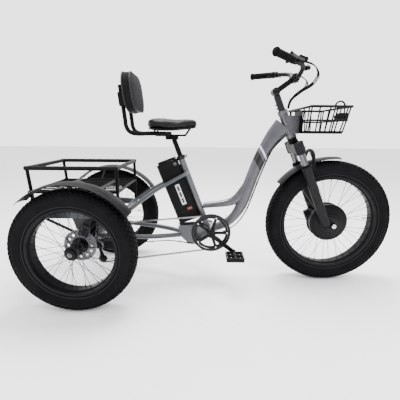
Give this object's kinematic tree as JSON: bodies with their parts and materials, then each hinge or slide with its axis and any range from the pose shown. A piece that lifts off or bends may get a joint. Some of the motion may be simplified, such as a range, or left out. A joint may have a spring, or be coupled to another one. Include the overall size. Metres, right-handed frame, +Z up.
{
  "type": "adult tricycle",
  "caption": "Electric fat-tyre cargo tricycle with a step-through frame, suspension fork, hub motor, padded saddle with backrest, and front and rear baskets.",
  "frame": {"origin": "on the floor, midway between the front of the front tyre and the back of the rear tyres", "axes": "+X forwards, +Y to the rider's left, +Z up"},
  "size_m": [1.945, 0.76, 1.1814],
  "materials": {
    "head_tube": "satin grey paint",
    "main_tube": "satin grey paint",
    "seat_tube": "satin grey paint",
    "bottom_bracket": "satin grey paint",
    "chain_stays": "satin dark grey paint",
    "seat_stays": "satin dark grey paint",
    "rear_subframe": "satin dark grey paint",
    "bearings": "bright steel",
    "seat_clamp": "black anodised",
    "rear_basket": "satin black powder coat",
    "fender_left": "satin black powder coat",
    "fender_right": "satin black powder coat",
    "front_basket": "satin black powder coat",
    "headlight": "moulded black",
    "battery_dock": "moulded black",
    "derailleur_body": "moulded black",
    "chain": "oiled steel",
    "rear_calipers": "black anodised or painted",
    "frame_cables": "black sheath",
    "battery_case": "moulded black",
    "battery_handle": "moulded black",
    "fork_crown": "black anodised",
    "stanchions": "polished",
    "stem_quill": "black anodised",
    "stem_arm": "black anodised",
    "handlebar": "black anodised",
    "grips": "matt rubber",
    "bar_controls": "moulded black",
    "bar_cables": "black sheath",
    "brake_lever_right": "black anodised or painted",
    "brake_lever_left": "black anodised or painted",
    "thumb_throttle": "moulded black",
    "shift_lever": "moulded black",
    "fork_lowers": "black anodised or painted",
    "front_fender": "satin black powder coat",
    "front_tyre": "matt rubber with knobs",
    "front_rim": "black anodised or painted",
    "front_spokes": "drawn steel",
    "hub_motor": "black anodised or painted",
    "tyre_left": "matt rubber with knobs",
    "rim_left": "black anodised or painted",
    "spokes_left": "drawn steel",
    "hub_left": "black anodised or painted",
    "tyre_right": "matt rubber with knobs",
    "rim_right": "black anodised or painted",
    "spokes_right": "drawn steel",
    "hub_right": "black anodised or painted",
    "crankset": "black anodised or painted",
    "chainring": "black anodised or painted",
    "pedal_right": "moulded black",
    "pedal_left": "moulded black",
    "cassette": "oiled steel",
    "derailleur_cage": "black anodised",
    "guide_pulley": "moulded black",
    "tension_pulley": "moulded black",
    "seat_post": "black anodised",
    "saddle": "black leatherette",
    "backrest_pad": "black woven fabric",
    "backrest_bracket": "black anodised",
    "backrest_knob": "moulded black"
  },
  "bodies": {
    "frame": {"head_tube": "head_tube", "main_tube": "main_tube", "seat_tube": "seat_tube", "bottom_bracket": "bottom_bracket", "chain_stays": "chain_stays", "seat_stays": "seat_stays", "rear_subframe": "rear_subframe", "bearings": "bearings", "seat_clamp": "seat_clamp", "rear_basket": "rear_basket", "fender_left": "fender_left", "fender_right": "fender_right", "front_basket": "front_basket", "headlight": "headlight", "battery_dock": "battery_dock", "derailleur_body": "derailleur_body", "chain": "chain", "rear_calipers": "rear_calipers", "frame_cables": "frame_cables"},
    "battery": {"battery_case": "battery_case"},
    "battery_bail": {"battery_handle": "battery_handle"},
    "steerer": {"fork_crown": "fork_crown", "stanchions": "stanchions", "stem_quill": "stem_quill"},
    "bars": {"stem_arm": "stem_arm", "handlebar": "handlebar", "grips": "grips", "bar_controls": "bar_controls", "bar_cables": "bar_cables"},
    "right_brake_lever": {"brake_lever_right": "brake_lever_right"},
    "left_brake_lever": {"brake_lever_left": "brake_lever_left"},
    "throttle": {"thumb_throttle": "thumb_throttle"},
    "shifter": {"shift_lever": "shift_lever"},
    "fork_legs": {"fork_lowers": "fork_lowers", "front_fender": "front_fender"},
    "front_wheel": {"front_tyre": "front_tyre", "front_rim": "front_rim", "front_spokes": "front_spokes", "hub_motor": "hub_motor"},
    "left_rear_wheel": {"tyre_left": "tyre_left", "rim_left": "rim_left", "spokes_left": "spokes_left", "hub_left": "hub_left"},
    "right_rear_wheel": {"tyre_right": "tyre_right", "rim_right": "rim_right", "spokes_right": "spokes_right", "hub_right": "hub_right"},
    "crank": {"crankset": "crankset", "chainring": "chainring"},
    "right_pedal": {"pedal_right": "pedal_right"},
    "left_pedal": {"pedal_left": "pedal_left"},
    "sprockets": {"cassette": "cassette"},
    "cage": {"derailleur_cage": "derailleur_cage"},
    "upper_pulley": {"guide_pulley": "guide_pulley"},
    "lower_pulley": {"tension_pulley": "tension_pulley"},
    "seat": {"seat_post": "seat_post", "saddle": "saddle"},
    "backrest": {"backrest_pad": "backrest_pad", "backrest_bracket": "backrest_bracket"},
    "knob": {"backrest_knob": "backrest_knob"}
  },
  "joints": [
    {"name": "steering", "type": "hinge", "parent": "frame", "child": "steerer", "pos_m": [0.3864, 0, 0.81833], "axis": [-0.4019, 0, 0.9157], "range_deg": [-50, 50], "deforming": ["bar_cables"]},
    {"name": "fork_travel", "type": "slide", "parent": "steerer", "child": "fork_legs", "axis": [-0.4019, 0, 0.9157], "range_m": [0, 0.06], "stiffness_N_per_m": 12000, "springref_m": -0.03},
    {"name": "front_wheel_spin", "type": "hinge", "parent": "fork_legs", "child": "front_wheel", "pos_m": [0.6265, 0, 0.346], "axis": [0, 1, 0], "continuous": true},
    {"name": "left_rear_wheel_spin", "type": "hinge", "parent": "frame", "child": "left_rear_wheel", "pos_m": [-0.6765, 0.33, 0.296], "axis": [0, 1, 0], "continuous": true},
    {"name": "right_rear_wheel_spin", "type": "hinge", "parent": "frame", "child": "right_rear_wheel", "pos_m": [-0.6765, -0.33, 0.296], "axis": [0, 1, 0], "continuous": true},
    {"name": "stem_angle", "type": "hinge", "parent": "steerer", "child": "bars", "pos_m": [0.28913, 0, 1.03992], "axis": [0, 1, 0], "range_deg": [-15, 8], "deforming": ["bar_cables"]},
    {"name": "right_brake", "type": "hinge", "parent": "bars", "child": "right_brake_lever", "pos_m": [0.35427, -0.18694, 1.14913], "axis": [-0.037, -0.037, -0.9986], "range_deg": [0, 10], "stiffness_Nm_per_rad": 1.5, "springref_deg": -11.46},
    {"name": "left_brake", "type": "hinge", "parent": "bars", "child": "left_brake_lever", "pos_m": [0.35427, 0.18694, 1.14913], "axis": [0.037, -0.037, 0.9986], "range_deg": [0, 10], "stiffness_Nm_per_rad": 1.5, "springref_deg": -11.46},
    {"name": "throttle_turn", "type": "hinge", "parent": "bars", "child": "throttle", "pos_m": [0.33313, 0.16, 1.15092], "axis": [0.7061, -0.7061, -0.0523], "range_deg": [0, 25], "stiffness_Nm_per_rad": 0.4, "springref_deg": -17.19},
    {"name": "shift", "type": "hinge", "parent": "bars", "child": "shifter", "pos_m": [0.33313, -0.16, 1.15092], "axis": [-0.7061, -0.7061, 0.0523], "range_deg": [0, 20], "stiffness_Nm_per_rad": 0.5, "springref_deg": -17.19},
    {"name": "crank_spin", "type": "hinge", "parent": "frame", "child": "crank", "pos_m": [-0.0335, 0, 0.296], "axis": [0, 1, 0], "continuous": true},
    {"name": "right_pedal_spin", "type": "hinge", "parent": "crank", "child": "right_pedal", "pos_m": [0.09084, -0.16, 0.19531], "axis": [0, 1, 0], "continuous": true},
    {"name": "left_pedal_spin", "type": "hinge", "parent": "crank", "child": "left_pedal", "pos_m": [-0.15784, 0.16, 0.39669], "axis": [0, 1, 0], "continuous": true},
    {"name": "sprocket_spin", "type": "hinge", "parent": "frame", "child": "sprockets", "pos_m": [-0.6765, -0.065, 0.296], "axis": [0, 1, 0], "continuous": true},
    {"name": "cage_swing", "type": "hinge", "parent": "frame", "child": "cage", "pos_m": [-0.6605, -0.065, 0.214], "axis": [0, 1, 0], "range_deg": [-25, 10], "stiffness_Nm_per_rad": 2, "deforming": ["chain"]},
    {"name": "guide_pulley_spin", "type": "hinge", "parent": "cage", "child": "upper_pulley", "pos_m": [-0.6605, -0.065, 0.214], "axis": [0, 1, 0], "continuous": true},
    {"name": "tension_pulley_spin", "type": "hinge", "parent": "cage", "child": "lower_pulley", "pos_m": [-0.6405, -0.065, 0.136], "axis": [0, 1, 0], "continuous": true},
    {"name": "seat_height", "type": "slide", "parent": "frame", "child": "seat", "axis": [-0.3551, 0, 0.9348], "range_m": [-0.03, 0.1]},
    {"name": "backrest_height", "type": "slide", "parent": "seat", "child": "backrest", "axis": [-0.1045, 0, 0.9945], "range_m": [-0.03, 0.03]},
    {"name": "backrest_knob_turn", "type": "hinge", "parent": "backrest", "child": "knob", "pos_m": [-0.48324, 0, 0.97671], "axis": [0.9945, 0, 0.1045], "range_deg": [-180, 180]},
    {"name": "battery_out", "type": "slide", "parent": "frame", "child": "battery", "axis": [-0.3551, 0, 0.9348], "range_m": [0, 0.035]},
    {"name": "battery_handle_fold", "type": "hinge", "parent": "battery", "child": "battery_bail", "pos_m": [-0.29729, 0, 0.67462], "axis": [0, 1, 0], "range_deg": [-90, 0]}
  ],
  "couplings": [
    {"joint": "sprocket_spin", "follows": "crank_spin", "ratio": 2.6667},
    {"joint": "guide_pulley_spin", "follows": "crank_spin", "ratio": -4.3636},
    {"joint": "tension_pulley_spin", "follows": "crank_spin", "ratio": 4.3636}
  ]
}
